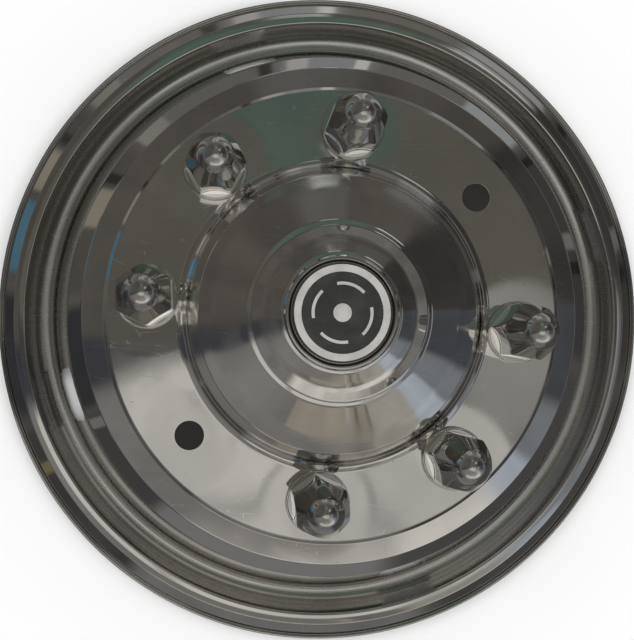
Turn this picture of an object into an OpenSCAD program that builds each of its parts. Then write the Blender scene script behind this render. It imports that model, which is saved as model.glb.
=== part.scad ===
// Wheel simulator for the front wheel of a medium truck: one deep pressed
// stainless liner with a rolled lip, a bulging face and a stepped hub, six
// hexagonal nut covers clinched through the face, and a round badge.
// The axis of the wheel is Z, the back edge of the lip lies on Z = 0.

/* [Rim lip] */
// Outside diameter of the rolled lip
rim_d = 508; // [500:1:560]
// Height of the lip above its back edge
lip_h = 12.2; // [10:0.1:18]
// Width of the rounded hem at the very edge
hem_w = 2.9; // [2.6:0.1:4]
// Depth of the fine groove inside the hem
groove_depth = 1.8; // [0.8:0.1:3]
// Width of the sloping band between the groove and the bead
band_w = 8.5; // [6:0.1:11]
// Rise of the sloping band
band_h = 6.8; // [3:0.1:9]
// Width of the bead at the top of the band
bead_w = 11; // [8:0.1:14]
// Rise from the band to the bead's flat top
bead_h = 0.9; // [0.3:0.1:2]
// Drop from the bead's top to the crease at its inner side
crease_drop = 5.9; // [3:0.1:8]
// Width of the bead's steep inner side
bead_side_w = 1.5; // [1:0.1:3]
// Height of the folded hem behind the skirt
fold_h = 5; // [3:0.1:8]

/* [Trough] */
// Height of the trough's floor above the back edge
floor_z = 2.2; // [1.8:0.1:8]
// Width from the crease to the foot of the outer wall
outer_wall_w = 4.6; // [3:0.1:7]
// Radius at the foot of the outer wall
outer_foot_r = 16; // [6:0.5:18]
// Radius at the foot of the inner wall
inner_foot_r = 4.3; // [2:0.1:8]
// Lean of the inner wall, from its foot in to the edge of the face
wall_lean = 17.5; // [10:0.1:20]

/* [Face] */
// Height of the flat ring above the back edge
face_h = 78; // [70:0.5:90]
// Height of the steep band at the edge of the face
edge_h = 16; // [9:0.1:18]
// Width of the steep band
edge_w = 15; // [12:0.1:18]
// Width of the shallow band inside the steep band
shallow_w = 13.2; // [8:0.1:16]
// Rise of the shallow band
shallow_h = 3.8; // [0.6:0.1:5]
// Width of the small step up to the flat ring
step_w = 2.8; // [1.6:0.1:4]
// Rise of the small step up to the flat ring
step_h = 2; // [1.5:0.1:4]

/* [Hub] */
// Width of the steep root from the flat ring to the cone
root_w = 10; // [7:0.1:12]
// Rise of the steep root
root_h = 24; // [12:0.1:28]
// Rise of the cone
cone_h = 9.4; // [6:0.1:14]
// Width of the soft ledge at the top of the cone
ledge_w = 7.2; // [4:0.1:10]
// Rise of the soft ledge
ledge_h = 0.6; // [0.3:0.1:3]
// Radius where the ledge meets the shoulder
shoulder_r = 62.8; // [60:0.1:70]
// Width of the shoulder
shoulder_w = 4.8; // [4:0.1:9]
// Rise of the shoulder
shoulder_h = 5.4; // [4:0.1:9]
// Rise of the crown above the shoulder
crown_h = 4; // [2:0.1:9]
// Width of the soft brow between the crown and the top land
brow_w = 7.6; // [4:0.1:9]
// Rise of the soft brow
brow_h = 0.7; // [0.3:0.1:3]
// Rise of the raised edge round the badge seat
land_h = 0.6; // [0.4:0.1:1.2]
// Depth of the seat that the badge lies in
seat_depth = 1.2; // [0.8:0.1:2]
// Width of the top land round the badge seat
land_w = 2; // [1.6:0.1:4]

/* [Sheet] */
// Thickness of the pressed sheet
sheet_t = 1; // [0.8:0.1:1.4]

/* [Stud and hand holes] */
// Diameter of the bolt circle
pcd = 275; // [266:1:280]
// Number of lug places on the bolt circle
lug_places = 8; // [8:1:8]
// Diameter of the plain stud holes
stud_hole_d = 21.3; // [18:0.1:26]
// Width of the flat ring inside the bolt circle
flat_in_w = 27.5; // [25:0.1:30]
// Width of the flat ring outside the bolt circle
flat_out_w = 27.4; // [25:0.1:30]
// Number of hand holes in the wall of the trough
hand_holes = 4; // [2:1:6]
// Length of a hand hole round the wall
hand_l = 42; // [30:1:50]
// Height of a hand hole up the wall
hand_w = 46; // [30:1:48]
// Corner radius of a hand hole
hand_r = 9; // [4:0.5:12]
// Height of a hand hole's lower edge above the trough's floor
hand_up = 1.6; // [1.2:0.1:4]

/* [Nut covers] */
// Width of the hexagon across its flats
hex_af = 38; // [34:0.1:39]
// Diameter of the round flange
flange_d = 46.6; // [46:0.1:49]
// Height of the flange's raised rim
flange_h = 4.6; // [3:0.1:7]
// Thickness of the flange's sheet
flange_t = 1.3; // [1:0.1:2]
// Wall of the cover's hollow body
cover_wall = 1.5; // [1:0.1:2]
// Height of the dome's centre above the face
dome_z = 55.5; // [48:0.5:64]
// Radius of the dome
dome_r = 13.8; // [12:0.1:14.5]
// Angle between the side of the nose and the axis
nose_angle = 17.8; // [16:0.1:19]
// Outside diameter of the neck that passes through the face
neck_d = 33.2; // [28:0.1:33.4]
// Height of the clinched bead below the retainer
clinch_h = 1.6; // [1:0.1:3]
// Gap between the neck and the parts around it
neck_gap = 0.3; // [0.2:0.05:0.5]

/* [Retainers] */
// Outside diameter of a retainer ring
retainer_d = 44; // [42:0.5:47]
// Thickness of a retainer ring
retainer_t = 0.9; // [0.7:0.1:1.5]
// Number of grip slots in a retainer ring
retainer_slots = 6; // [3:1:8]
// Width of a grip slot
slot_w = 2.4; // [1.5:0.1:3]
// Length of a grip slot, measured out from the bore
slot_l = 2.6; // [1.5:0.1:3]

/* [Badge] */
// Diameter of the black badge disc
badge_d = 71; // [66:0.5:76]
// Thickness of the badge disc at its rim
badge_t = 4; // [3:0.1:6]
// Outside diameter of the silver ring
ring_d = 67.2; // [60:0.1:69]
// Width of the silver ring
ring_w = 5.1; // [3:0.1:6]
// Height of the silver pieces above the disc
inlay_h = 0.7; // [0.4:0.1:1.2]
// Gap round the badge disc in its seat
badge_gap = 0.3; // [0.2:0.05:0.6]
// Middle radius of the arc inlays
arc_r = 20.5; // [16:0.1:23]
// Width of the arc inlays
arc_w = 2.2; // [1.2:0.1:3]
// Angle that each arc inlay covers
arc_span = 58; // [40:1:80]
// Number of arc inlays
arc_count = 4; // [3:1:4]
// Diameter of the centre button
button_d = 13; // [8:0.5:20]
// Height of the centre button
button_h = 1.8; // [1:0.1:3]

/* [Hidden] */
$fn = 96;

// Lug places that carry a cover, counted round from +X, with the turn of each hexagon
cover_place = [0, 2, 3, 4, 6, 7];
cover_turn = [51.5, 14.5, 10, 33, 41, 52];
// Lug places left as plain stud holes
open_place = [1, 5];
// The hand holes stand midway between lug places
hand_start = 180 / lug_places;

// Turn between the points that draw one arc of the section
arc_step = 14;
// Least radius of a bend at the back of the sheet
least_bend = 0.2;
// Length added to a cutter where it leaves a face
over = 1;

// The rim that the bolt circle and the widths belong to; they follow any other rim
given_rim_d = 508;
share = rim_d / given_rim_d;
rim_r = rim_d / 2;
bolt_r = pcd / 2 * share;

// Radii of the section from the lip in to the trough
groove_r = rim_r - hem_w;
band_in_r = groove_r - band_w * share;
crease_r = band_in_r - bead_w * share;
bead_in_r = crease_r + bead_side_w;
bead_mid_r = (band_in_r + bead_in_r) / 2;
outer_foot = crease_r - outer_wall_w * share;

// Radii of the section from the bolt circle out to the trough
flat_out_r = bolt_r + flat_out_w;
step_r = flat_out_r + step_w * share;
shallow_r = step_r + shallow_w * share;
edge_r = shallow_r + edge_w * share;
inner_foot = edge_r + wall_lean * share;

// Radii of the section from the bolt circle in to the badge
flat_in_r = bolt_r - flat_in_w;
cone_out_r = flat_in_r - root_w * share;
ledge_r = shoulder_r + ledge_w;
crown_out_r = shoulder_r - shoulder_w;
seat_r = badge_d / 2 + badge_gap;
land_r = seat_r + land_w;
brow_r = land_r + brow_w;

// Heights of the section
groove_z = lip_h - groove_depth;
band_z = groove_z + band_h;
bead_z = band_z + bead_h;
crease_z = bead_z - crease_drop;
step_foot_z = face_h - step_h;
shallow_z = step_foot_z - shallow_h;
edge_z = shallow_z - edge_h;
cone_z = face_h + root_h;
ledge_z = cone_z + cone_h;
shoulder_z = ledge_z + ledge_h;
crown_z = shoulder_z + shoulder_h;
brow_z = crown_z + crown_h;
land_foot_z = brow_z + brow_h;
land_z = land_foot_z + land_h;
seat_z = land_z - seat_depth;
face_back_z = face_h - sheet_t;

// The front of the sheet from the back edge of the lip to the axis: radius,
// height and bend radius of each corner
front = [
    [rim_r, 0, 0],
    [rim_r, lip_h, 1.35],
    [groove_r + 0.2, lip_h, 1.3],
    [groove_r, groove_z, 0.5],
    [band_in_r, band_z, 2.4],
    [bead_mid_r, bead_z, 14],
    [bead_in_r, bead_z, 2.6],
    [crease_r, crease_z, 1.4],
    [outer_foot, floor_z, outer_foot_r],
    [inner_foot, floor_z, inner_foot_r],
    [edge_r, edge_z, 4.5],
    [shallow_r, shallow_z, 3],
    [step_r, step_foot_z, 1.6],
    [flat_out_r, face_h, 1.6],
    [flat_in_r, face_h, 4],
    [cone_out_r, cone_z, 1.4],
    [ledge_r, ledge_z, 24],
    [shoulder_r, shoulder_z, 1.6],
    [crown_out_r, crown_z, 2],
    [brow_r, brow_z, 16],
    [land_r + 1.2, land_foot_z, 1.4],
    [land_r, land_z, 1.6],
    [seat_r + 0.2, land_z, 1.15],
    [seat_r, seat_z, 0.3],
    [0, seat_z, 0]
];

// Heights and radii of a nut cover, above the face
hex_r = hex_af / sqrt(3);
flange_r = flange_d / 2;
nose_z = dome_z + dome_r * sin(nose_angle);
nose_r = dome_r * cos(nose_angle);
cover_top = dome_z + dome_r;
neck_r = neck_d / 2;
bore_r = neck_r - cover_wall;
clinch_r = neck_r + 1;
hole_r = neck_r + neck_gap;
retainer_bottom = face_back_z - retainer_t;
clinch_bottom = retainer_bottom - clinch_h;

badge_top = seat_z + badge_t;

// Unit vector along v
function unit(v) = v / norm(v);
// Vector v turned a quarter turn to the front of the sheet
function front_normal(v) = [v[1], -v[0]];
// Direction from point i to the next one
function along(p, i) = unit([p[i + 1][0] - p[i][0], p[i + 1][1] - p[i][1]]);
// Which way the section bends at point i: 1 outwards, -1 inwards
function bend(p, i) = sign(cross(along(p, i - 1), along(p, i)));
// Length of the stretch from point i to the next one
function reach(p, i) = norm([p[i + 1][0] - p[i][0], p[i + 1][1] - p[i][1]]);

// The points of one rounded corner, its radius limited by the stretches beside it
function corner(p, i) =
    let (
        back = -along(p, i - 1),
        on = along(p, i),
        half = acos(back * on) / 2,
        room = min(reach(p, i - 1), reach(p, i)) * 0.48,
        r = min(p[i][2], room * tan(half)),
        place = [p[i][0], p[i][1]],
        centre = place + unit(back + on) * r / sin(half),
        from = place + back * r / tan(half) - centre,
        to = place + on * r / tan(half) - centre,
        turn = 180 - 2 * half,
        steps = max(2, ceil(turn / arc_step))
    )
    [for (k = [0 : steps])
        centre + (from * sin(turn * (1 - k / steps)) + to * sin(turn * k / steps)) / sin(turn)];

// The whole line with every corner rounded
function rounded(p) = concat(
    [[p[0][0], p[0][1]]],
    [for (i = [1 : len(p) - 2]) each corner(p, i)],
    [[p[len(p) - 1][0], p[len(p) - 1][1]]]
);

// The same line moved back by the sheet's thickness, with bends to match
function behind(p, t) = [for (i = [0 : len(p) - 1])
    i == 0 ? [each [p[0][0], p[0][1]] - front_normal(along(p, 0)) * t, 0]
    : i == len(p) - 1 ? [p[i][0], p[i][1] - t, 0]
    : let (
        a = front_normal(along(p, i - 1)),
        b = front_normal(along(p, i)),
        moved = [p[i][0], p[i][1]] - (a + b) * t / (1 + a * b)
    )
    [moved[0], moved[1], max(least_bend, p[i][2] - bend(p, i) * t)]];

function reversed(p) = [for (i = [len(p) - 1 : -1 : 0]) p[i]];

// Puts its children at one lug place, standing on the face
module at_lug(place) {
    rotate([0, 0, place * 360 / lug_places])
        translate([bolt_r, 0, face_h])
            children();
}

// Cutter for one hand hole, square to the wall of the trough
module hand_hole_cutter() {
    lean = atan((inner_foot - edge_r) / (edge_z - floor_z));
    depth = 24;
    low = floor_z + hand_up;
    foot_r = inner_foot - (low - floor_z) * tan(lean);
    translate([foot_r, 0, low])
        rotate([0, -lean, 0])
            rotate([90, 0, 90])
                translate([0, 0, -depth / 2])
                    linear_extrude(depth / 2 + 6)
                        rounded_slot();
}

// Outline of a hand hole, standing on its lower edge
module rounded_slot() {
    inner_l = hand_l - 2 * hand_r;
    inner_w = hand_w - 2 * hand_r;
    translate([-inner_l / 2, 0])
        square([inner_l, hand_w]);
    translate([-hand_l / 2, hand_r])
        square([hand_l, inner_w]);
    for (x = [-inner_l / 2, inner_l / 2], y = [hand_r, hand_w - hand_r])
        translate([x, y])
            circle(r = hand_r);
}

// The pressed sheet, with the folded hem behind its skirt
module liner_sheet() {
    rotate_extrude()
        polygon(concat(rounded(front), reversed(rounded(behind(front, sheet_t)))));
    rotate_extrude()
        translate([rim_r - 2 * sheet_t, 0])
            square([sheet_t * 1.5, fold_h]);
}

module liner() {
    color("silver")
        difference() {
            liner_sheet();
            for (place = open_place)
                at_lug(place)
                    translate([0, 0, -sheet_t - over])
                        cylinder(d = stud_hole_d, h = sheet_t + 2 * over);
            for (place = cover_place)
                at_lug(place)
                    translate([0, 0, -sheet_t - over])
                        cylinder(r = hole_r, h = sheet_t + 2 * over);
            for (k = [0 : hand_holes - 1])
                rotate([0, 0, hand_start + k * 360 / hand_holes])
                    hand_hole_cutter();
        }
}

// Side and dome of the cover's nose, grown or shrunk by a wall
module nose(wall, foot_z) {
    r = dome_r - wall;
    side_z = dome_z + r * sin(nose_angle);
    side_r = r * cos(nose_angle);
    foot_r = side_r + (side_z - foot_z) * tan(nose_angle);
    steps = 8;
    rotate_extrude()
        polygon(concat(
            [[0, foot_z], [foot_r, foot_z]],
            [for (k = [0 : steps])
                let (a = nose_angle + (90 - nose_angle) * k / steps)
                    [r * cos(a), dome_z + r * sin(a)]]
        ));
}

// Round flange with its turned-up rim
module cover_flange() {
    rotate_extrude()
        polygon([
            [0, 0],
            [flange_r - 1.2, 0],
            [flange_r, 1.2],
            [flange_r, flange_h - 0.4],
            [flange_r - 0.4, flange_h],
            [flange_r - flange_t + 0.4, flange_h],
            [flange_r - flange_t, flange_h - 0.4],
            [flange_r - flange_t, flange_t + 0.5],
            [flange_r - flange_t - 0.5, flange_t],
            [0, flange_t]
        ]);
}

// One cover: hexagon cut by the nose, hollow inside, with its neck below the face
module nut_cover(k) {
    color("gainsboro")
        at_lug(cover_place[k])
            rotate([0, 0, cover_turn[k]])
                difference() {
                    union() {
                        cover_flange();
                        intersection() {
                            cylinder(r = hex_r, h = cover_top, $fn = 6);
                            nose(0, 0);
                        }
                        translate([0, 0, clinch_bottom - face_h + clinch_h])
                            cylinder(r = neck_r, h = face_h - retainer_bottom + flange_t);
                        translate([0, 0, clinch_bottom - face_h])
                            cylinder(r = clinch_r, h = clinch_h);
                    }
                    cover_hollow();
                }
}

// Hollow of the cover: a hexagonal room under the nose, open through the neck
module cover_hollow() {
    intersection() {
        translate([0, 0, flange_t])
            cylinder(r = hex_r - cover_wall * 2 / sqrt(3), h = cover_top, $fn = 6);
        nose(cover_wall, flange_t);
    }
    translate([0, 0, clinch_bottom - face_h - over])
        cylinder(r = bore_r, h = face_h - clinch_bottom + over + flange_t + over);
}

// Push-on ring behind the face, gripping one neck
module retainer(k) {
    color("darkgray")
        rotate([0, 0, cover_place[k] * 360 / lug_places])
            translate([bolt_r, 0, retainer_bottom])
                difference() {
                    cylinder(d = retainer_d, h = retainer_t);
                    translate([0, 0, -over])
                        cylinder(r = neck_r, h = retainer_t + 2 * over);
                    for (s = [0 : retainer_slots - 1])
                        rotate([0, 0, (s + 0.5) * 360 / retainer_slots])
                            translate([neck_r - over, -slot_w / 2, -over])
                                cube([slot_l + over, slot_w, retainer_t + 2 * over]);
                }
}

module badge_disc() {
    color("black")
        translate([0, 0, seat_z])
            rotate_extrude()
                polygon([
                    [0, 0],
                    [badge_d / 2, 0],
                    [badge_d / 2, badge_t - 0.6],
                    [badge_d / 2 - 0.6, badge_t],
                    [0, badge_t]
                ]);
}

module badge_ring() {
    color("lightgray")
        translate([0, 0, badge_top])
            difference() {
                cylinder(d = ring_d, h = inlay_h);
                translate([0, 0, -over])
                    cylinder(d = ring_d - 2 * ring_w, h = inlay_h + 2 * over);
            }
}

module badge_arcs() {
    color("lightgray")
        for (k = [0 : arc_count - 1])
            translate([0, 0, badge_top])
                rotate([0, 0, (k + 0.5) * 360 / arc_count - arc_span / 2])
                    rotate_extrude(angle = arc_span)
                        translate([arc_r - arc_w / 2, 0])
                            square([arc_w, inlay_h]);
}

module badge_button() {
    cap_r = (button_d * button_d / 4 + button_h * button_h) / (2 * button_h);
    color("lightgray")
        translate([0, 0, badge_top])
            intersection() {
                cylinder(d = button_d, h = button_h + over);
                translate([0, 0, button_h - cap_r])
                    sphere(r = cap_r);
            }
}

liner();
nut_cover(0);  // nut_cover_1
nut_cover(1);  // nut_cover_2
nut_cover(2);  // nut_cover_3
nut_cover(3);  // nut_cover_4
nut_cover(4);  // nut_cover_5
nut_cover(5);  // nut_cover_6
retainer(0);  // retainer_1
retainer(1);  // retainer_2
retainer(2);  // retainer_3
retainer(3);  // retainer_4
retainer(4);  // retainer_5
retainer(5);  // retainer_6
badge_disc();
badge_ring();
badge_arcs();
badge_button();
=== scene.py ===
import math

import bpy
from mathutils import Matrix, Vector


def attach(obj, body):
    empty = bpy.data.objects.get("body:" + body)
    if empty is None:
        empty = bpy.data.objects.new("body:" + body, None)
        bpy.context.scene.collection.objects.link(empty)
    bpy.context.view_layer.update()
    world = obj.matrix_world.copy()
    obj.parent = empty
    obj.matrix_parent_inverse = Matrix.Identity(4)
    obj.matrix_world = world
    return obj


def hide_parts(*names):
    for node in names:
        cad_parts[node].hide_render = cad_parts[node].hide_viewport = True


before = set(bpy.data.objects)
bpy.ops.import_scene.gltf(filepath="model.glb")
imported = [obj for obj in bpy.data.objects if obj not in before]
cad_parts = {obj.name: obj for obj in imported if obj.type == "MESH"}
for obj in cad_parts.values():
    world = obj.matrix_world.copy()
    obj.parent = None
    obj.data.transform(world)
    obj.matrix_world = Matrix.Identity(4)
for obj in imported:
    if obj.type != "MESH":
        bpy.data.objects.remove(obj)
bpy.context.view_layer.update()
mm = 0.001
print("frame loaded")


# Selection and edit mode

def deselectAll():
    bpy.ops.object.select_all(action="DESELECT")


def activate(obj):
    deselectAll()
    obj.select_set(True)
    bpy.context.view_layer.objects.active = obj


def startEdit(obj):
    activate(obj)
    bpy.ops.object.mode_set(mode="EDIT")


def endEdit():
    bpy.ops.object.mode_set(mode="OBJECT")


def applyModifier(obj, kind, **settings):
    activate(obj)
    modifier = obj.modifiers.new(kind.title(), kind)
    for name, value in settings.items():
        setattr(modifier, name, value)
    bpy.ops.object.modifier_apply(modifier=modifier.name)


def applyPlace(obj):
    activate(obj)
    bpy.ops.object.transform_apply(location=True, rotation=True, scale=True)


def joinInto(obj, others):
    activate(obj)
    for other in others:
        other.select_set(True)
    bpy.ops.object.join()
    return obj


def copyOf(obj, name):
    copy = obj.copy()
    copy.data = obj.data.copy()
    copy.name = name
    copy.data.name = name
    bpy.context.scene.collection.objects.link(copy)
    return copy


# Round sections: corners are (radius, height, bend) in millimetres

bending = {
    "share": 0.46,         # the part of a side that one bend may take
    "least": 0.02,         # a smaller bend stays a sharp corner
    "straight": 89.6,      # half the angle, in degrees, beyond which there is no corner
    "slack": 0.02,         # how far a held straight may run past that part
    "leastHold": 0.05,
    "leastBehind": 0.2,    # tightest bend on the far side of the sheet
}
# in metres: points closer than this become one, and what counts as no distance
weldLine, weldSpin = 0.000002, 0.000004
tiny = 1e-6


def unit(v):
    return v / v.length


def bentCorner(before, here, after, bend, step, hold):
    # the points of one rounded corner, with a short straight kept on each side
    back, on = unit(before - here), unit(after - here)
    half = math.acos(max(-1.0, min(1.0, back.dot(on)))) / 2
    side = min((before - here).length, (after - here).length) * bending["share"]
    bend = min(bend, side * math.tan(half))
    if bend < bending["least"] or half > math.radians(bending["straight"]):
        return [here]
    reach = bend / math.tan(half)
    centre = here + unit(back + on) * bend / math.sin(half)
    start, stop = here + back * reach - centre, here + on * reach - centre
    turn = math.pi - 2 * half
    steps = max(2, math.ceil(math.degrees(turn) / step))
    arc = [centre + (start * math.sin(turn * (1 - k / steps)) + stop * math.sin(turn * k / steps))
           / math.sin(turn) for k in range(steps + 1)]
    held = min(hold, side - reach + bending["slack"])
    if held > bending["leastHold"]:
        arc = [here + back * (reach + held)] + arc + [here + on * (reach + held)]
    return arc


def bentLine(corners, step, hold, closed=False):
    places = [Vector((c[0], c[1])) for c in corners]
    last = len(corners) - 1
    line = []
    for i, corner in enumerate(corners):
        if not closed and i in (0, last):
            line.append(places[i])
        else:
            line += bentCorner(places[i - 1], places[i], places[(i + 1) % len(corners)],
                               corner[2], step, hold)
    return line


def cornersBehind(corners, sheet):
    # the same corners on the far side of the sheet
    def front(a, b):
        way = unit(Vector((b[0] - a[0], b[1] - a[1])))
        return Vector((way.y, -way.x))

    behind = []
    for i, corner in enumerate(corners):
        place = Vector((corner[0], corner[1]))
        if i == 0:
            moved, bend = place - front(corner, corners[1]) * sheet, 0
        elif i == len(corners) - 1:
            moved, bend = place - Vector((0, sheet)), 0
        else:
            a, b = front(corners[i - 1], corner), front(corner, corners[i + 1])
            moved = place - (a + b) * sheet / (1 + a.dot(b))
            inwards = 1 if a.cross(b) > 0 else -1
            bend = max(bending["leastBehind"], corner[2] - inwards * sheet)
        behind.append((max(moved.x, 0), moved.y, bend))
    return behind


def drawLine(name, points, closed=False):
    # one vertex, extruded along the section in the XZ plane
    deselectAll()
    bpy.ops.mesh.primitive_plane_add(size=mm)
    line = bpy.context.object
    line.name = name
    line.data.name = name
    bpy.ops.object.mode_set(mode="EDIT")
    bpy.ops.mesh.merge(type="CENTER")
    bpy.ops.transform.translate(value=(points[0].x * mm, 0, points[0].y * mm))
    following = points[1:] + (points[:1] if closed else [])
    for a, b in zip(points, following):
        step = ((b.x - a.x) * mm, 0, (b.y - a.y) * mm)
        bpy.ops.mesh.extrude_vertices_move(TRANSFORM_OT_translate={"value": step})
    bpy.ops.mesh.select_all(action="SELECT")
    bpy.ops.mesh.remove_doubles(threshold=weldLine)
    endEdit()
    return line


def spinRound(obj, turns, angle=2 * math.pi):
    startEdit(obj)
    bpy.ops.mesh.select_all(action="SELECT")
    bpy.ops.mesh.spin(steps=turns, angle=angle, center=(0, 0, 0), axis=(0, 0, 1))
    bpy.ops.mesh.select_all(action="SELECT")
    bpy.ops.mesh.remove_doubles(threshold=weldSpin)
    bpy.ops.mesh.normals_make_consistent(inside=False)
    endEdit()
    return obj


def cutWith(obj, cutters):
    cutter = joinInto(cutters[0], cutters[1:])
    applyModifier(obj, "BOOLEAN", operation="DIFFERENCE", solver="EXACT", object=cutter)
    bpy.data.objects.remove(cutter)


def shadeSmooth(obj, degrees=30):
    activate(obj)
    bpy.ops.object.shade_smooth_by_angle(angle=math.radians(degrees))


# Liner: the pressed sheet with its folded hem, trough, face and hub

liner = {
    "sheet": 0.95,
    "turns": 256,          # faces round the axis
    "bendStep": 6,         # degrees between the points of a bend on the front
    "backStep": 20,        # the same on the back
    "hold": 0.45,          # straight kept beside each bend on the front
    "backHold": 0,         # none on the back, which keeps the piece under 200,000 triangles
    "smooth": 32,          # edges under this many degrees are shaded smooth
    "rim": [(252.05, 5, 0), (252.05, 0, 0.95), (254, 0, 0.95), (254, 12.2, 1.15),
            (251.8, 12.2, 1.1), (251.6, 9.9, 0.5)],
    "bead": [(241.3, 17.6, 2.4), (237.3, 18.1, 14), (233.1, 18.1, 2.2)],
    "trough": [(225.5, 3.5, 12), (213.4, 2.1, 6.5)],
    "face": [(195.9, 56.2, 4.5), (184.4, 70.1, 3), (168.3, 76, 1.6), (165.5, 78, 1.6), (110, 78, 9)],
    "hub": [(100.2, 102, 1.4), (90, 104.4, 90), (66, 112.2, 7), (62.4, 112.6, 4), (52.5, 118.6, 30),
            (42.6, 121.7, 5), (40.5, 121.9, 0.6), (39.2, 123.1, 0.9), (37.3, 123.1, 0.9)],
    "seat": [(35.7, 121.5, 0.3), (0, 121.5, 0)],
    "hemReach": 253.2,     # the hem's two open ends lie within this radius
    "faceHeight": 78,
    "boltRadius": 137.5,
    "studHole": 21.3,
    "neckHole": 33.8,
    "holeTurns": 96,
    "holeDepth": 6,
    "lugStep": 45,         # degrees from one lug place to the next
    "openPlaces": (1, 5),
    "coverPlaces": (0, 2, 3, 4, 6, 7),
    "handHoles": 4,
    "handStart": 22.5,
    "handSize": (42, 46),
    "handDepth": (18, -3),   # the cutter's thickness, and its middle against the wall's face
    "handCorner": 9,
    "cornerSteps": 10,
    "handLow": 3.8,        # height of a hand hole's lower edge
    "wallFoot": (213.4, 2.2),
    "wallLean": 17.5 / 54,
}


def lugTurn(place):
    return math.radians(place * liner["lugStep"])


def lugPlace(place, height):
    reach = liner["boltRadius"] * mm
    return reach * math.cos(lugTurn(place)), reach * math.sin(lugTurn(place)), height * mm


def lugCutter(place, diameter):
    bpy.ops.mesh.primitive_cylinder_add(
        vertices=liner["holeTurns"], radius=diameter / 2 * mm, depth=liner["holeDepth"] * mm,
        location=lugPlace(place, liner["faceHeight"]))
    return bpy.context.object


def handCutter():
    # a rounded block square to the trough's wall, seen here at the first hand hole
    length, height = liner["handSize"]
    depth, middle = liner["handDepth"]
    deselectAll()
    bpy.ops.mesh.primitive_cube_add(size=1, location=(middle * mm, 0, height / 2 * mm))
    block = bpy.context.object
    block.scale = (depth * mm, length * mm, height * mm)
    applyPlace(block)
    startEdit(block)
    bpy.ops.mesh.select_all(action="DESELECT")
    endEdit()
    for edge in block.data.edges:
        a, b = (block.data.vertices[v].co for v in edge.vertices)
        edge.select = abs(a.y - b.y) < tiny and abs(a.z - b.z) < tiny
    startEdit(block)
    bpy.ops.mesh.bevel(offset=liner["handCorner"] * mm, offset_type="OFFSET",
                       segments=liner["cornerSteps"])
    endEdit()
    wallRadius, wallHeight = liner["wallFoot"]
    foot = wallRadius - (liner["handLow"] - wallHeight) * liner["wallLean"]
    block.rotation_euler = (0, -math.atan(liner["wallLean"]), 0)
    block.location = (foot * mm, 0, liner["handLow"] * mm)
    applyPlace(block)
    return block


def makeLiner():
    corners = [c for part in ("rim", "bead", "trough", "face", "hub", "seat") for c in liner[part]]
    front = bentLine(corners, liner["bendStep"], liner["hold"])
    back = bentLine(cornersBehind(corners, liner["sheet"]), liner["backStep"], liner["backHold"])
    sheet = drawLine("linerSheet", front + back[::-1])
    # the two ends at the hem are joined before the spin
    startEdit(sheet)
    bpy.ops.mesh.select_all(action="DESELECT")
    endEdit()
    hemTop = liner["rim"][0][1] * mm
    for v in sheet.data.vertices:
        if abs(v.co.z - hemTop) < tiny and v.co.x < liner["hemReach"] * mm:
            v.select = True
    startEdit(sheet)
    bpy.ops.mesh.edge_face_add()
    endEdit()
    spinRound(sheet, liner["turns"])
    cutters = [lugCutter(place, liner["studHole"]) for place in liner["openPlaces"]]
    cutters += [lugCutter(place, liner["neckHole"]) for place in liner["coverPlaces"]]
    firstHole = handCutter()
    for k in range(liner["handHoles"]):
        cutter = copyOf(firstHole, "handCutter")
        turn = liner["handStart"] + k * 360 / liner["handHoles"]
        cutter.rotation_euler = (0, 0, math.radians(turn))
        applyPlace(cutter)
        cutters.append(cutter)
    bpy.data.objects.remove(firstHole)
    cutWith(sheet, cutters)
    shadeSmooth(sheet, liner["smooth"])
    return sheet


# Nut covers: a hexagon pressed below a conical nose with a round dome

cover = {
    "turns": 144,
    "acrossFlats": 38,
    "cornerSoft": 0.4,     # softness of the pressed edges
    "cornerCut": 0.35,     # how far the hexagon's corners are blunted
    "cornerRound": 0.4,
    "domeHeight": 55.5,
    "domeRadius": 13.8,
    "domeSteps": 20,
    "noseAngle": 17.8,
    "wall": 1.3,
    "lowHeights": [1.0, 4, 9, 15, 21, 26],
    "scallopStart": 29,    # where the nose cuts the flats the points stand closer
    "scallopStep": 0.75,
    "scallopPoints": 21,
    "highHeights": [46, 48.5, 51, 53.5, 56, 58],
    "flange": [(15.1, 3.7, 0), (15.1, -3.5, 0.3), (17.6, -3.5, 0.7), (17.6, -1.9, 0.7),
               (16.6, -1.9, 0.2), (16.6, 0, 0.3), (23.3, 0, 1.1), (23.3, 4.6, 0.6),
               (22.2, 4.6, 0.4), (21.8, 3.7, 0.4)],
    "flangeTurns": 96,
    "bendStep": 15,
    "hold": 0.2,
    "smooth": 38,
    "turnsOfHexagons": (24, 14.5, 21, 8, 41, 7),
}


def coverLine():
    # up the side, over the nose and the dome to the axis
    angle = math.radians(cover["noseAngle"])
    high, ball = cover["domeHeight"], cover["domeRadius"]
    sideHeight, sideRadius = high + ball * math.sin(angle), ball * math.cos(angle)
    scallop = [cover["scallopStart"] + cover["scallopStep"] * k for k in range(cover["scallopPoints"])]
    heights = cover["lowHeights"] + scallop + cover["highHeights"]
    line = [Vector((sideRadius + (sideHeight - z) * math.tan(angle), z)) for z in heights]
    steps = cover["domeSteps"]
    for k in range(steps + 1):
        a = angle + (math.pi / 2 - angle) * k / steps
        line.append(Vector((max(ball * math.cos(a), 0), high + ball * math.sin(a))))
    return line


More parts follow.
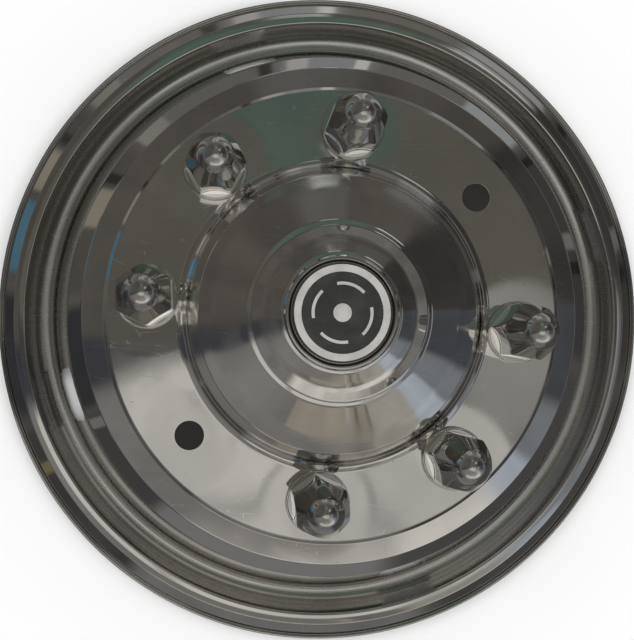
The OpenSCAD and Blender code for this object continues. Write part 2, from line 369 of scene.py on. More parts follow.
def pressHexagon(obj):
    # each vertex moves in to the nearest flat, softly where the flat meets the nose
    flat, soft = cover["acrossFlats"] / 2 * mm, cover["cornerSoft"] * mm
    corner = flat / math.cos(math.pi / 6) - cover["cornerCut"] * mm
    for vertex in obj.data.vertices:
        radius = math.hypot(vertex.co.x, vertex.co.y)
        if radius < tiny:
            continue
        turn = math.atan2(vertex.co.y, vertex.co.x)
        side = (turn + math.pi / 6) % (math.pi / 3) - math.pi / 6
        reach = flat / math.cos(side)
        reach = (reach + corner - math.hypot(reach - corner, cover["cornerRound"] * mm)) / 2
        pressed = (radius + reach - math.hypot(radius - reach, soft)) / 2
        vertex.co.x *= pressed / radius
        vertex.co.y *= pressed / radius


def makeCover():
    body = spinRound(drawLine("coverBody", coverLine()), cover["turns"])
    pressHexagon(body)
    applyModifier(body, "SOLIDIFY", thickness=cover["wall"] * mm, offset=-1, use_even_offset=False)
    line = bentLine(cover["flange"], cover["bendStep"], cover["hold"], closed=True)
    ring = spinRound(drawLine("coverRing", line, closed=True), cover["flangeTurns"])
    joinInto(body, [ring])
    shadeSmooth(body, cover["smooth"])
    return body


def placeCovers(model):
    covers = []
    for k, place in enumerate(liner["coverPlaces"]):
        piece = copyOf(model, f"nutCover{k + 1}")
        piece.rotation_euler = (0, 0, lugTurn(place) + math.radians(cover["turnsOfHexagons"][k]))
        piece.location = lugPlace(place, liner["faceHeight"])
        applyPlace(piece)
        covers.append(piece)
    bpy.data.objects.remove(model)
    return covers


# Badge: black disc, silver ring, four arcs and a button

badge = {
    "seat": 121.5,
    "disc": [(34.9, 0.02, 0.3), (34.9, 3.3, 0.5), (34.3, 4, 0.4), (0, 4.0, 0)],
    "top": 4.0,
    "ring": [(28.5, -0.05, 0), (28.5, 0.6, 0.25), (33.6, 0.6, 0.25), (33.6, -0.05, 0)],
    "arc": [(19.4, -0.05, 0), (19.4, 0.55, 0.2), (21.6, 0.55, 0.2), (21.6, -0.05, 0)],
    "arcs": 4,
    "arcSpan": 58,
    "button": [(6.5, -0.05, 0), (6.4, 0.5, 0.3), (3.6, 1.45, 3), (0, 1.7, 0)],
    "turns": 128,
    "arcTurns": 20,
    "buttonTurns": 64,
    # degrees between the points of a bend, and the straight kept beside it
    "discBend": (15, 0.2),
    "inlayBend": (30, 0.1),
    "buttonBend": (12, 0.1),
    "smooth": 35,
}


def raised(corners, height):
    return [(r, z + height, bend) for r, z, bend in corners]


def inlayLine(name):
    # the closed section of an inlay, a little sunk into the disc's top
    corners = raised(badge[name], badge["seat"] + badge["top"])
    return bentLine(corners, *badge["inlayBend"], closed=True)


def makeDisc():
    corners = raised([(0, badge["disc"][0][1], 0)] + badge["disc"], badge["seat"])
    disc = spinRound(drawLine("badgeDisc", bentLine(corners, *badge["discBend"])), badge["turns"])
    shadeSmooth(disc, badge["smooth"])
    return disc


def makeRing():
    ring = spinRound(drawLine("badgeRing", inlayLine("ring"), closed=True), badge["turns"])
    shadeSmooth(ring, badge["smooth"])
    return ring


def makeArcs():
    bar = drawLine("badgeArcs", inlayLine("arc"), closed=True)
    spinRound(bar, badge["arcTurns"], math.radians(badge["arcSpan"]))
    startEdit(bar)
    bpy.ops.mesh.select_all(action="DESELECT")
    bpy.ops.mesh.select_non_manifold(extend=False)
    bpy.ops.mesh.fill()
    bpy.ops.mesh.select_all(action="SELECT")
    bpy.ops.mesh.normals_make_consistent(inside=False)
    endEdit()
    bars = []
    for k in range(badge["arcs"]):
        one = copyOf(bar, "badgeArc")
        middle = (k + 0.5) * 360 / badge["arcs"]
        one.rotation_euler = (0, 0, math.radians(middle - badge["arcSpan"] / 2))
        applyPlace(one)
        bars.append(one)
    bpy.data.objects.remove(bar)
    arcs = joinInto(bars[0], bars[1:])
    shadeSmooth(arcs, badge["smooth"])
    return arcs


def makeButton():
    corners = raised([(0, badge["button"][0][1], 0)] + badge["button"], badge["seat"] + badge["top"])
    button = spinRound(drawLine("badgeButton", bentLine(corners, *badge["buttonBend"])),
                       badge["buttonTurns"])
    shadeSmooth(button, badge["smooth"])
    return button


# Node helpers

def socketsIn(group, inputs, outputs):
    for name, kind, value in inputs:
        socket = group.interface.new_socket(name=name, in_out="INPUT", socket_type=kind)
        if value is not None:
            socket.default_value = value
    for name, kind in outputs:
        group.interface.new_socket(name=name, in_out="OUTPUT", socket_type=kind)


def newGroup(name, inputs, outputs):
    group = bpy.data.node_groups.new(name, "ShaderNodeTree")
    socketsIn(group, inputs, outputs)
    source = group.nodes.new("NodeGroupInput")
    sink = group.nodes.new("NodeGroupOutput")
    return group, source, sink


def node(tree, kind, **settings):
    made = tree.nodes.new(kind)
    for name, value in settings.items():
        setattr(made, name, value)
    return made


def feed(tree, socket, value):
    # a number or colour is set on the socket, another node's output is linked to it
    if isinstance(value, bpy.types.NodeSocket):
        tree.links.new(value, socket)
    else:
        socket.default_value = value


def maths(tree, operation, *values):
    made = node(tree, "ShaderNodeMath", operation=operation)
    for socket, value in zip(made.inputs, values):
        feed(tree, socket, value)
    return made.outputs[0]


def spread(tree, value, low, high, outLow=0.0, outHigh=1.0, smooth=True):
    made = node(tree, "ShaderNodeMapRange", interpolation_type="SMOOTHSTEP" if smooth else "LINEAR")
    for i, given in enumerate((value, low, high, outLow, outHigh)):
        feed(tree, made.inputs[i], given)
    return made.outputs[0]


def blend(tree, factor, a, b, mode="MIX"):
    # the mix node's colours are its seventh and eighth inputs
    made = node(tree, "ShaderNodeMix", data_type="RGBA", blend_type=mode)
    feed(tree, made.inputs[0], factor)
    for i, given in ((6, a), (7, b)):
        feed(tree, made.inputs[i], (*given, 1) if isinstance(given, tuple) else given)
    return made.outputs[2]


def noise(tree, vector, scale, detail=2.0, roughness=0.5):
    made = node(tree, "ShaderNodeTexNoise")
    made.inputs["Scale"].default_value = scale
    made.inputs["Detail"].default_value = detail
    made.inputs["Roughness"].default_value = roughness
    tree.links.new(vector, made.inputs["Vector"])
    return made.outputs["Fac"]


def polarPlace(tree, where):
    # distance from the axis, turn about it and height
    parts = node(tree, "ShaderNodeSeparateXYZ")
    tree.links.new(where, parts.inputs[0])
    x, y, z = parts.outputs
    radius = maths(tree, "SQRT", maths(tree, "ADD", maths(tree, "MULTIPLY", x, x),
                                       maths(tree, "MULTIPLY", y, y)))
    return radius, maths(tree, "ARCTAN2", y, x), z


def between(tree, value, low, high, soft):
    rise = spread(tree, value, low - soft, low + soft)
    return maths(tree, "MULTIPLY", rise, spread(tree, value, high - soft, high + soft, 1.0, 0.0))


# Shared effects

turned = {"heightShare": 0.7, "alongTurn": 1.6, "patch": (0.42, 0.66)}


def makeTurnedLines():
    # fine rings left by polishing on a lathe, stronger in some sectors
    group, source, sink = newGroup(
        "turnedLines",
        [("Vector", "NodeSocketVector", None), ("Fineness", "NodeSocketFloat", 900.0),
         ("Patchiness", "NodeSocketFloat", 0.5)],
        [("Lines", "NodeSocketFloat"), ("Haze", "NodeSocketFloat")])
    radius, turn, height = polarPlace(group, source.outputs["Vector"])
    along = maths(group, "ADD", radius, maths(group, "MULTIPLY", height, turned["heightShare"]))
    place = node(group, "ShaderNodeCombineXYZ")
    group.links.new(maths(group, "MULTIPLY", along, source.outputs["Fineness"]), place.inputs[0])
    group.links.new(maths(group, "MULTIPLY", turn, turned["alongTurn"]), place.inputs[1])
    fine = noise(group, place.outputs[0], scale=1.0, detail=3.0, roughness=0.65)
    coarse = noise(group, source.outputs["Vector"], scale=14.0, detail=3.0)
    patch = spread(group, coarse, *turned["patch"])
    strength = blend(group, source.outputs["Patchiness"], (1, 1, 1), patch)
    lines = maths(group, "MULTIPLY", maths(group, "SUBTRACT", fine, 0.5), strength)
    group.links.new(lines, sink.inputs["Lines"])
    group.links.new(patch, sink.inputs["Haze"])
    return group


hair = {"ways": (0.35, 1.4, 2.3), "stretch": (1, 7, 1), "broken": (0.56, 0.62)}


def makeScratches():
    # short hairline scratches in many directions
    group, source, sink = newGroup(
        "hairScratches",
        [("Vector", "NodeSocketVector", None), ("Scale", "NodeSocketFloat", 30.0),
         ("Width", "NodeSocketFloat", 0.02)],
        [("Mask", "NodeSocketFloat")])
    total = None
    for turn in hair["ways"]:
        mapping = node(group, "ShaderNodeMapping")
        mapping.inputs["Rotation"].default_value = (0, 0, turn)
        mapping.inputs["Scale"].default_value = hair["stretch"]
        group.links.new(source.outputs["Vector"], mapping.inputs["Vector"])
        cells = node(group, "ShaderNodeTexVoronoi", feature="DISTANCE_TO_EDGE")
        group.links.new(mapping.outputs[0], cells.inputs["Vector"])
        group.links.new(source.outputs["Scale"], cells.inputs["Scale"])
        line = spread(group, cells.outputs["Distance"], 0.0, source.outputs["Width"], 1.0, 0.0)
        broken = spread(group, noise(group, mapping.outputs[0], scale=22.0, detail=2.0), *hair["broken"])
        part = maths(group, "MULTIPLY", line, broken)
        total = part if total is None else maths(group, "MAXIMUM", total, part)
    group.links.new(total, sink.inputs["Mask"])
    return group


def makeSpecks():
    # small pits and dust grains
    group, source, sink = newGroup(
        "specks",
        [("Vector", "NodeSocketVector", None), ("Scale", "NodeSocketFloat", 160.0),
         ("Size", "NodeSocketFloat", 0.1)],
        [("Mask", "NodeSocketFloat")])
    cells = node(group, "ShaderNodeTexVoronoi", feature="F1")
    group.links.new(source.outputs["Vector"], cells.inputs["Vector"])
    group.links.new(source.outputs["Scale"], cells.inputs["Scale"])
    dot = spread(group, cells.outputs["Distance"], maths(group, "MULTIPLY", source.outputs["Size"], 0.5),
                 source.outputs["Size"], 1.0, 0.0)
    parts = node(group, "ShaderNodeSeparateColor")
    group.links.new(cells.outputs["Color"], parts.inputs[0])
    # only some of the cells hold a speck
    few = spread(group, parts.outputs[0], 0.86, 0.9)
    group.links.new(maths(group, "MULTIPLY", dot, few), sink.inputs["Mask"])
    return group


def placeGroup(tree, group, vector, **values):
    made = node(tree, "ShaderNodeGroup", node_tree=group)
    tree.links.new(vector, made.inputs["Vector"])
    for name, value in values.items():
        made.inputs[name].default_value = value
    return made


def newMaterial(name):
    material = bpy.data.materials.new(name)
    material.use_nodes = True
    tree = material.node_tree
    tree.nodes.clear()
    shader = node(tree, "ShaderNodeBsdfPrincipled")
    output = node(tree, "ShaderNodeOutputMaterial")
    tree.links.new(shader.outputs[0], output.inputs["Surface"])
    where = node(tree, "ShaderNodeTexCoord").outputs["Object"]
    return material, tree, shader, where


def bumpFrom(tree, shader, height, strength, distance):
    bump = node(tree, "ShaderNodeBump")
    bump.inputs["Strength"].default_value = strength
    bump.inputs["Distance"].default_value = distance
    tree.links.new(height, bump.inputs["Height"])
    tree.links.new(bump.outputs[0], shader.inputs["Normal"])


# Materials

polish = {
    "clean": (0.5, 0.485, 0.46),
    "hazy": (0.43, 0.42, 0.4),
    "scratch": (0.62, 0.61, 0.59),
    "speck": (0.25, 0.235, 0.21),
    # painted sheen: the steep root's colour is lightened so that its reflection comes out brighter
    "root": (0.9, 0.885, 0.86),
    "mirrored": (0.97, 0.96, 0.94),
    "roughness": 0.04,
    "hazeRoughness": 0.07,
    "brushed": 0.09,       # roughness added where the cone and the crown are brushed
    "satin": 0.1,          # roughness added on the dome of a nut cover
    "dulled": 0.17,        # roughness added in the trough
    "rootSoft": 0.09,      # roughness added on the steep root
    "plainLines": 0.004,   # depth of the turned lines against the waves
    "coneLines": 0.06,     # what the cone and the crown add to it
    # radii in metres: low, high and how soft the border is
    "rootBand": (0.1003, 0.1098, 0.0008),
    "coneBand": (0.0715, 0.0985, 0.002),
    "crownBand": (0.044, 0.0565, 0.002),
    "troughBand": (0.2125, 0.2312, 0.0015),
    "domeRise": (0.128, 0.136),   # heights from which and to which the dome's satin grows
    # how much scratches and specks show, and the roughness that they add
    "scratchShow": 0.55,
    "scratchRough": 0.15,
    "speckShow": 0.7,
    "speckRough": 0.25,
    "hazeScale": 9.0,
    "waveScale": 7.0,
    "waveHeight": 0.00012,
    "waves": 0.3,
    "pits": 0.01,
    "dimple": 0.0005,
    "dimpleFloor": 0.012,  # radius of a lug place's flat floor, in metres
}


def makeLugDimples():
    # 1 at a lug place, falling to 0 some way off it
    group, source, sink = newGroup(
        "lugDimples",
        [("Vector", "NodeSocketVector", None), ("Bolt Radius", "NodeSocketFloat", 0.1375),
         ("Reach", "NodeSocketFloat", 0.045)],
        [("Mask", "NodeSocketFloat")])
    radius, turn, _ = polarPlace(group, source.outputs["Vector"])
    half = math.radians(liner["lugStep"]) / 2
    folded = maths(group, "WRAP", turn, half, -half)
    along = maths(group, "SUBTRACT", maths(group, "MULTIPLY", radius, maths(group, "COSINE", folded)),
                  source.outputs["Bolt Radius"])
    across = maths(group, "MULTIPLY", radius, maths(group, "SINE", folded))
    away = maths(group, "SQRT", maths(group, "ADD", maths(group, "MULTIPLY", along, along),
                                      maths(group, "MULTIPLY", across, across)))
    dish = spread(group, away, polish["dimpleFloor"], source.outputs["Reach"], 1.0, 0.0)
    group.links.new(dish, sink.inputs["Mask"])
    return group


def makePolishedSheet(groups, name, values, centre=(0, 0, 0), fineness=900.0, waves=1.0,
                      onCover=False):
    material, tree, shader, where = newMaterial(name)
    mapping = node(tree, "ShaderNodeMapping")
    mapping.inputs["Location"].default_value = tuple(-c for c in centre)
    tree.links.new(where, mapping.inputs["Vector"])
    place = mapping.outputs[0]
    radius, _, height = polarPlace(tree, place)
    lines = placeGroup(tree, groups["lines"], place, Fineness=fineness)
    scratches = placeGroup(tree, groups["scratches"], where, Scale=26.0, Width=0.012)
    specks = placeGroup(tree, groups["specks"], where, Scale=150.0, Size=0.09)
    shade = noise(tree, where, scale=values["hazeScale"], detail=4.0)
    colour = blend(tree, spread(tree, shade, 0.35, 0.75), values["clean"], values["hazy"])
    if onCover:
        soft = maths(tree, "MULTIPLY", spread(tree, height, *values["domeRise"]), values["satin"])
        brush = values["plainLines"]
    else:
        root = between(tree, radius, *values["rootBand"])
        # painted sheen: the root band takes the lighter colour, so it reflects brighter than the rest of
        # the sheet
        colour = blend(tree, root, colour, values["root"])
        cone = maths(tree, "MAXIMUM", between(tree, radius, *values["coneBand"]),
                     between(tree, radius, *values["crownBand"]))
        soft = maths(tree, "MULTIPLY", maths(tree, "MULTIPLY", cone, lines.outputs["Haze"]),
                     values["brushed"])
        soft = maths(tree, "ADD", soft, maths(tree, "MULTIPLY", root, values["rootSoft"]))
        trough = between(tree, radius, *values["troughBand"])
        soft = maths(tree, "ADD", soft, maths(tree, "MULTIPLY", trough, values["dulled"]))
        brush = maths(tree, "MULTIPLY_ADD", cone, values["coneLines"], values["plainLines"])
    scratched, specked = scratches.outputs[0], specks.outputs[0]
    colour = blend(tree, maths(tree, "MULTIPLY", scratched, values["scratchShow"]), colour,
                   values["scratch"])
    colour = blend(tree, maths(tree, "MULTIPLY", specked, values["speckShow"]), colour, values["speck"])
    if onCover:
        # a cover's image in the sheet is lighter than the cover, as in the photo
        inMirror = node(tree, "ShaderNodeLightPath").outputs["Is Glossy Ray"]
        colour = blend(tree, inMirror, colour, values["mirrored"])
    tree.links.new(colour, shader.inputs["Base Color"])
    rough = maths(tree, "MULTIPLY_ADD", lines.outputs["Haze"], values["hazeRoughness"],
                  values["roughness"])
    rough = maths(tree, "ADD", rough, soft)
    rough = maths(tree, "ADD", rough, maths(tree, "MULTIPLY", scratched, values["scratchRough"]))
    rough = maths(tree, "ADD", rough, maths(tree, "MULTIPLY", specked, values["speckRough"]))
    tree.links.new(rough, shader.inputs["Roughness"])
    shader.inputs["Metallic"].default_value = 1.0
    wave = noise(tree, where, scale=values["waveScale"] * waves, detail=1.0)
    relief = maths(tree, "MULTIPLY", lines.outputs["Lines"], brush)
    relief = maths(tree, "ADD", relief, maths(tree, "MULTIPLY", wave, values["waves"]))
    relief = maths(tree, "SUBTRACT", relief, maths(tree, "MULTIPLY", specked, values["pits"]))
    if not onCover:
        dimples = placeGroup(tree, groups["dimples"], where)
        depth = values["dimple"] / values["waveHeight"]
        relief = maths(tree, "SUBTRACT", relief, maths(tree, "MULTIPLY", dimples.outputs[0], depth))
    bumpFrom(tree, shader, relief, strength=1.0, distance=values["waveHeight"])
    return material


spring = {"light": (0.46, 0.45, 0.43), "dark": (0.3, 0.29, 0.28), "rust": (0.2, 0.16, 0.12),
          "roughness": (0.28, 0.46)}


def makeSpringSteel(groups):
    material, tree, shader, where = newMaterial("springSteel")
    stain = noise(tree, where, scale=60.0, detail=5.0)
    specks = placeGroup(tree, groups["specks"], where, Scale=400.0, Size=0.16)
    colour = blend(tree, spread(tree, stain, 0.35, 0.7), spring["light"], spring["dark"])
    colour = blend(tree, maths(tree, "MULTIPLY", specks.outputs[0], 0.6), colour, spring["rust"])
    tree.links.new(colour, shader.inputs["Base Color"])
    shader.inputs["Metallic"].default_value = 1.0
    tree.links.new(spread(tree, stain, 0.3, 0.7, *spring["roughness"]), shader.inputs["Roughness"])
    bumpFrom(tree, shader, noise(tree, where, scale=900.0, detail=3.0),
             strength=0.25, distance=0.00005)
    return material


enamel = {"black": (0.022, 0.024, 0.021), "worn": (0.034, 0.036, 0.032), "dust": (0.16, 0.15, 0.13),
          "roughness": (0.34, 0.46)}


def makeBlackBadge(groups):
    material, tree, shader, where = newMaterial("blackBadge")
    specks = placeGroup(tree, groups["specks"], where, Scale=420.0, Size=0.12)
    scratches = placeGroup(tree, groups["scratches"], where, Scale=60.0, Width=0.012)
    wear = spread(tree, noise(tree, where, scale=70.0, detail=4.0), 0.35, 0.7)
    colour = blend(tree, wear, enamel["black"], enamel["worn"])
    colour = blend(tree, maths(tree, "MULTIPLY", specks.outputs[0], 0.5), colour, enamel["dust"])
    colour = blend(tree, maths(tree, "MULTIPLY", scratches.outputs[0], 0.25), colour, enamel["dust"])
    tree.links.new(colour, shader.inputs["Base Color"])
    patches = noise(tree, where, scale=55.0, detail=3.0)
    tree.links.new(spread(tree, patches, 0.3, 0.7, *enamel["roughness"]), shader.inputs["Roughness"])
    bumpFrom(tree, shader, noise(tree, where, scale=1500.0, detail=2.0),
             strength=0.15, distance=0.00004)
    return material


foil = {"silver": (0.56, 0.545, 0.52), "dull": (0.47, 0.455, 0.43), "speck": (0.3, 0.29, 0.27),
        "roughness": (0.36, 0.5), "metallic": 0.25}


def makeSilverFoil(groups):
    material, tree, shader, where = newMaterial("silverFoil")
    specks = placeGroup(tree, groups["specks"], where, Scale=600.0, Size=0.14)
    wear = spread(tree, noise(tree, where, scale=90.0, detail=4.0), 0.35, 0.7)
    colour = blend(tree, wear, foil["silver"], foil["dull"])
    colour = blend(tree, maths(tree, "MULTIPLY", specks.outputs[0], 0.35), colour, foil["speck"])
    tree.links.new(colour, shader.inputs["Base Color"])
    shader.inputs["Metallic"].default_value = foil["metallic"]
    patches = noise(tree, where, scale=120.0, detail=3.0)
    tree.links.new(spread(tree, patches, 0.3, 0.7, *foil["roughness"]), shader.inputs["Roughness"])
    bumpFrom(tree, shader, noise(tree, where, scale=1800.0, detail=2.0),
             strength=0.2, distance=0.00003)
    return material


# Studio: floor, soft lamps, and a dim room that only reflections see

studio = {
    "floorColour": (0.93, 0.93, 0.927),
    "floorUnder": (0.32, 0.31, 0.3),   # dulled where the part's face keeps the light off
    "underEdge": (0.17, 0.185),
    "floorRadius": 5.0,
    "floorTurns": 96,
    "floorTop": -0.0004,
    "floorRoughness": 0.9,
    "skyStrength": 0.9,
    "domeRadius": 5.6,
    "domeTurns": (48, 24),
    "domeFoot": -0.02,
    "lamps": [((-1.6, 1.2, 2.6), 1.6, 16), ((1.5, -0.8, 2.4), 1.4, 10)],
}

# every card stands round the object: turn and half width, then how far from straight up it
# starts and ends, then its colour; later cards lie over earlier ones
room = {
    "ceiling": (0.172, 0.164, 0.146),
    "wallTop": (18, 26),   # degrees from straight up where the ceiling turns into walls
    "walls": (0.14, 0.13, 0.118),
    "lowTop": (58, 70),
    "low": (0.215, 0.208, 0.198),
    "warp": 0.35,          # how much the cards' edges waver
    "warpScale": 0.9,
    "unevenScale": 0.8,
    "uneven": (0.84, 1.14),
    "cards": [
        # overhead, seen in the flat ring
        ("whiteScreen", 276, 70, -5, 21, 3, (0.9, 0.89, 0.86)),
        ("screenSeam", 258, 3, -5, 22, 2, (0.55, 0.54, 0.53)),
        ("screenFold", 314, 4, -5, 22, 2.5, (0.6, 0.59, 0.58)),
        ("screenHem", 286, 50, 9.2, 10.4, 0.8, (0.58, 0.575, 0.56)),
        ("greyScreen", 359, 13, -5, 21, 3, (0.41, 0.405, 0.39)),
        ("greenCurtain", 77, 14, 4, 33, 2, (0.132, 0.188, 0.162)),
        ("greenEnd", 98, 20, 12.5, 33, 1.5, (0.132, 0.188, 0.162)),
        ("navyCloth", 190, 12, -5, 23, 0.9, (0.08, 0.083, 0.096)),
        # half way up, seen in the cone, the crown and the shallow band
        ("darkDoor", 27, 20, 22, 62, 3, (0.068, 0.065, 0.062)),
        ("slateCorner", 357, 12, 22, 62, 1, (0.1, 0.107, 0.125)),
        ("paleStrip", 94, 12, 36, 62, 3, (0.18, 0.176, 0.166)),
        ("navyCoat", 196, 7, 22, 62, 0.7, (0.075, 0.079, 0.096)),
        ("greyWall", 224, 21, 22, 62, 3, (0.31, 0.305, 0.302)),
        ("brownWall", 272, 32, 22, 62, 3, (0.285, 0.278, 0.27)),
        ("tanDoor", 279, 21, 36, 46, 1, (0.47, 0.43, 0.37)),
        ("paleDoor", 313, 12, 22, 62, 2, (0.53, 0.515, 0.475)),
        ("doorLight", 290, 1, 22, 50, 0.6, (0.6, 0.58, 0.54)),
        ("doorEdge", 294, 0.9, 22, 50, 0.6, (0.24, 0.225, 0.21)),
        ("doorPost", 301, 0.7, 22, 50, 0.6, (0.28, 0.27, 0.25)),
        ("bluePane", 340, 8, 22, 62, 2, (0.29, 0.32, 0.36)),
        ("frostedWindow", 328, 6, 22, 62, 1.5, (0.62, 0.69, 0.8)),
        ("lowWindow", 54, 8, 27, 36.5, 1, (0.85, 0.88, 0.9)),
        ("softbox", 284, 40, 52, 66, 4.5, (1.02, 1.0, 0.96)),
        ("paleRail", 350, 24, 67, 82, 3, (0.3, 0.3, 0.29)),
        ("paleLedge", 80, 28, 66, 80, 3, (0.25, 0.25, 0.24)),
        # seen in the root, by way of the face
        ("rootPanel", 358, 14, 27, 37, 2, (0.42, 0.415, 0.4)),
        ("rootPane", 91, 6, 33, 38.5, 1.2, (0.75, 0.76, 0.74)),
        # at the horizon and on the ground, seen in the steep bands
        ("darkLeft", 20, 28, 75, 180, 3, (0.078, 0.076, 0.074)),
        ("leftWindow", 57, 7.5, 75, 180, 1, (0.455, 0.47, 0.49)),
        ("backWindow", 98, 10, 75, 180, 4, (0.38, 0.395, 0.41)),
        ("dimCorner", 158, 20, 75, 180, 4, (0.125, 0.115, 0.108)),
        ("bluePanel", 168, 7, 70, 93, 1, (0.12, 0.25, 0.36)),
        ("navyCloset", 192, 13, 75, 180, 2, (0.053, 0.055, 0.062)),
        ("darkShelf", 223, 18, 75, 180, 3, (0.08, 0.08, 0.082)),
        ("lowPale", 270, 28, 75, 180, 3, (0.26, 0.255, 0.262)),
        ("lowDark", 326, 26, 75, 180, 4, (0.098, 0.096, 0.096)),
        ("darkPost", 14, 1.6, 75, 180, 0.5, (0.03, 0.03, 0.03)),
        ("lightPost", 21, 2.2, 75, 180, 0.8, (0.24, 0.24, 0.235)),
        ("hangingTool", 44, 1.2, 75, 180, 0.5, (0.035, 0.034, 0.033)),
        ("windowBar", 90, 1.6, 75, 180, 0.5, (0.8, 0.81, 0.8)),
        ("shelfLight", 105, 2.4, 75, 180, 0.6, (0.62, 0.62, 0.61)),
        ("shelfDark", 112, 1.4, 75, 180, 0.5, (0.07, 0.068, 0.064)),
        ("paleCrate", 135, 3.2, 75, 180, 0.6, (0.33, 0.32, 0.3)),
        ("tanCrate", 154, 4.6, 75, 104, 0.6, (0.36, 0.33, 0.28)),
        ("crateShade", 147, 1.2, 75, 180, 0.5, (0.05, 0.048, 0.045)),
        ("yellowTin", 215, 1, 80, 93, 0.4, (0.26, 0.235, 0.13)),
        ("greyTin", 209, 1.5, 95, 104, 0.5, (0.24, 0.245, 0.25)),
    ],
}


def makeSoftCard():
    # 1 inside a soft-edged card, by turn and by angle from straight up, both in degrees
    group, source, sink = newGroup(
        "softCard",
        [("Turn", "NodeSocketFloat", 0.0), ("Tilt", "NodeSocketFloat", 0.0),
         ("Centre", "NodeSocketFloat", 0.0), ("Half", "NodeSocketFloat", 10.0),
         ("Start", "NodeSocketFloat", 0.0), ("End", "NodeSocketFloat", 90.0),
         ("Soft", "NodeSocketFloat", 3.0)],
        [("Mask", "NodeSocketFloat")])
    away = maths(group, "SUBTRACT", source.outputs["Turn"], source.outputs["Centre"])
    away = maths(group, "ABSOLUTE", maths(group, "WRAP", away, 180.0, -180.0))
    soft = source.outputs["Soft"]

    def edge(value, limit, outLow, outHigh):
        return spread(group, value, maths(group, "SUBTRACT", source.outputs[limit], soft),
                      maths(group, "ADD", source.outputs[limit], soft), outLow, outHigh)

    side = edge(away, "Half", 1.0, 0.0)
    start = edge(source.outputs["Tilt"], "Start", 0.0, 1.0)
    end = edge(source.outputs["Tilt"], "End", 1.0, 0.0)
    mask = maths(group, "MULTIPLY", maths(group, "MULTIPLY", side, start), end)
    group.links.new(mask, sink.inputs["Mask"])
    return group


def makeRoomMaterial():
    material = bpy.data.materials.new("roomAround")
    material.use_nodes = True
    tree = material.node_tree
    tree.nodes.clear()
    where = node(tree, "ShaderNodeTexCoord").outputs["Object"]
    warp = node(tree, "ShaderNodeTexNoise")
    warp.inputs["Scale"].default_value = room["warpScale"]
    warp.inputs["Detail"].default_value = 2.0
    tree.links.new(where, warp.inputs["Vector"])
    bend = node(tree, "ShaderNodeVectorMath", operation="MULTIPLY_ADD")
    tree.links.new(warp.outputs["Color"], bend.inputs[0])
    bend.inputs[1].default_value = (room["warp"],) * 3
    tree.links.new(where, bend.inputs[2])
    shift = node(tree, "ShaderNodeVectorMath", operation="SUBTRACT")
    tree.links.new(bend.outputs[0], shift.inputs[0])
    shift.inputs[1].default_value = (room["warp"] / 2,) * 3
    unitVector = node(tree, "ShaderNodeVectorMath", operation="NORMALIZE")
    tree.links.new(shift.outputs[0], unitVector.inputs[0])
    parts = node(tree, "ShaderNodeSeparateXYZ")
    tree.links.new(unitVector.outputs[0], parts.inputs[0])
    degrees = 180 / math.pi
    turn = maths(tree, "MULTIPLY", maths(tree, "ARCTAN2", parts.outputs[1], parts.outputs[0]), degrees)
    tilt = maths(tree, "MULTIPLY", maths(tree, "ARCCOSINE", parts.outputs[2]), degrees)
    colour = blend(tree, spread(tree, tilt, *room["wallTop"]), room["ceiling"], room["walls"])
    colour = blend(tree, spread(tree, tilt, *room["lowTop"]), colour, room["low"])
    group = makeSoftCard()
    for name, *numbers, shade in room["cards"]:
        card = node(tree, "ShaderNodeGroup", node_tree=group, label=name)
        for socket, value in zip(card.inputs, (turn, tilt, *numbers)):
            feed(tree, socket, value)
        colour = blend(tree, card.outputs[0], colour, shade)
    cloud = noise(tree, where, scale=room["unevenScale"], detail=4.0)
    uneven = spread(tree, cloud, 0.3, 0.7, *room["uneven"])
    colour = blend(tree, 1.0, colour, uneven, mode="MULTIPLY")
    glow = node(tree, "ShaderNodeEmission")
    tree.links.new(colour, glow.inputs["Color"])
    output = node(tree, "ShaderNodeOutputMaterial")
    tree.links.new(glow.outputs[0], output.inputs["Surface"])
    material.cycles.emission_sampling = "NONE"
    return material


def makeRoom():
    deselectAll()
    segments, rings = studio["domeTurns"]
    bpy.ops.mesh.primitive_uv_sphere_add(segments=segments, ring_count=rings,
                                         radius=studio["domeRadius"])
    dome = bpy.context.object
    dome.name = "roomAround"
    bpy.ops.object.mode_set(mode="EDIT")
    bpy.ops.mesh.select_all(action="SELECT")
    bpy.ops.mesh.bisect(plane_co=(0, 0, studio["domeFoot"]), plane_no=(0, 0, 1), clear_inner=True,
                        use_fill=True)
    endEdit()
    dome.data.materials.append(makeRoomMaterial())
    dome.visible_camera = False
    dome.visible_diffuse = False
    dome.visible_shadow = False


def makeFloor():
    deselectAll()
    bpy.ops.mesh.primitive_circle_add(vertices=studio["floorTurns"], radius=studio["floorRadius"],
                                      fill_type="NGON", location=(0, 0, studio["floorTop"]))
    floor = bpy.context.object
    floor.name = "floor"
    material, tree, shader, where = newMaterial("paleFloor")
    under = spread(tree, polarPlace(tree, where)[0], *studio["underEdge"], 1.0, 0.0)
    tree.links.new(blend(tree, under, studio["floorColour"], studio["floorUnder"]),
                   shader.inputs["Base Color"])
    shader.inputs["Roughness"].default_value = studio["floorRoughness"]
    floor.data.materials.append(material)
    floor.visible_glossy = False


def makeWorld():
    world = bpy.data.worlds.new("studio")
    bpy.context.scene.world = world
    world.use_nodes = True
    tree = world.node_tree
    tree.nodes.clear()
    paths = node(tree, "ShaderNodeLightPath")
    seen = maths(tree, "MAXIMUM", paths.outputs["Is Camera Ray"], paths.outputs["Is Glossy Ray"])
    seen = maths(tree, "MAXIMUM", seen, paths.outputs["Is Transmission Ray"])
    background = node(tree, "ShaderNodeBackground")
    background.inputs["Color"].default_value = (1, 1, 1, 1)
    tree.links.new(spread(tree, seen, 0, 1, studio["skyStrength"], 1.0, smooth=False),
                   background.inputs["Strength"])
    output = node(tree, "ShaderNodeOutputWorld")
    tree.links.new(background.outputs[0], output.inputs["Surface"])


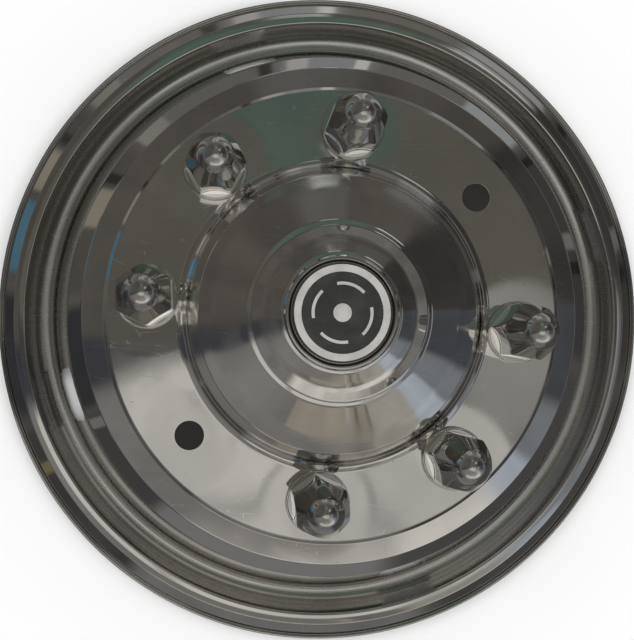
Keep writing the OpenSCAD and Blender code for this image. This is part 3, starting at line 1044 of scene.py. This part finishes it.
def makeLamps():
    for place, size, power in studio["lamps"]:
        lamp = bpy.data.lights.new("softLamp", "AREA")
        lamp.shape = "DISK"
        lamp.size = size
        lamp.energy = power
        holder = bpy.data.objects.new("softLamp", lamp)
        holder.location = place
        holder.rotation_euler = Vector(place).to_track_quat("Z", "Y").to_euler()
        holder.visible_glossy = False
        bpy.context.scene.collection.objects.link(holder)


view = {
    "place": (-0.0863, -0.0310, 0.8669),
    "tilt": (-0.0236769, 0.0955812, -0.0941844),   # about X, Y and Z, in radians
    "lens": 60.85,
    "sensor": 36,
}


def makeCamera():
    camera = bpy.data.cameras.new("camera")
    camera.sensor_fit = "VERTICAL"
    camera.sensor_height = view["sensor"]
    camera.lens = view["lens"]
    camera.clip_start = 0.01
    holder = bpy.data.objects.new("camera", camera)
    about = [Matrix.Rotation(angle, 3, axis) for angle, axis in zip(view["tilt"], "XYZ")]
    turned = (about[0] @ about[1] @ about[2]).transposed()
    holder.rotation_euler = turned.to_euler()
    holder.location = view["place"]
    bpy.context.scene.collection.objects.link(holder)
    bpy.context.scene.camera = holder


def finishPiece(piece, name, material, nodes):
    piece.name = name
    piece.data.name = name
    piece.data.materials.clear()
    piece.data.materials.append(material)
    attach(piece, "root")
    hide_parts(*nodes)


def main():
    groups = {"lines": makeTurnedLines(), "scratches": makeScratches(), "specks": makeSpecks(),
              "dimples": makeLugDimples()}
    sheetMetal = makePolishedSheet(groups, "polishedSheet", polish)
    print("liner")
    finishPiece(makeLiner(), "linerSheet", sheetMetal, ["liner"])
    print("covers")
    for k, piece in enumerate(placeCovers(makeCover())):
        metal = makePolishedSheet(groups, f"polishedCover{k + 1}", polish,
                                  lugPlace(liner["coverPlaces"][k], 0),
                                  fineness=2400.0, waves=3.0, onCover=True)
        finishPiece(piece, f"nutCover{k + 1}", metal, [f"nut_cover_{k + 1}"])
    print("badge")
    blackBadge, silverFoil = makeBlackBadge(groups), makeSilverFoil(groups)
    finishPiece(makeDisc(), "badgeDisc", blackBadge, ["badge_disc"])
    finishPiece(makeRing(), "badgeRing", silverFoil, ["badge_ring"])
    finishPiece(makeArcs(), "badgeArcs", silverFoil, ["badge_arcs"])
    finishPiece(makeButton(), "badgeButton", silverFoil, ["badge_button"])
    print("retainers")
    springSteel = makeSpringSteel(groups)
    for name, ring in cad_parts.items():
        if name.startswith("retainer"):
            ring.data.materials.clear()
            ring.data.materials.append(springSteel)
    print("studio")
    makeRoom()
    makeFloor()
    makeWorld()
    makeLamps()
    makeCamera()
    bpy.context.scene.view_settings.view_transform = "Standard"


main()
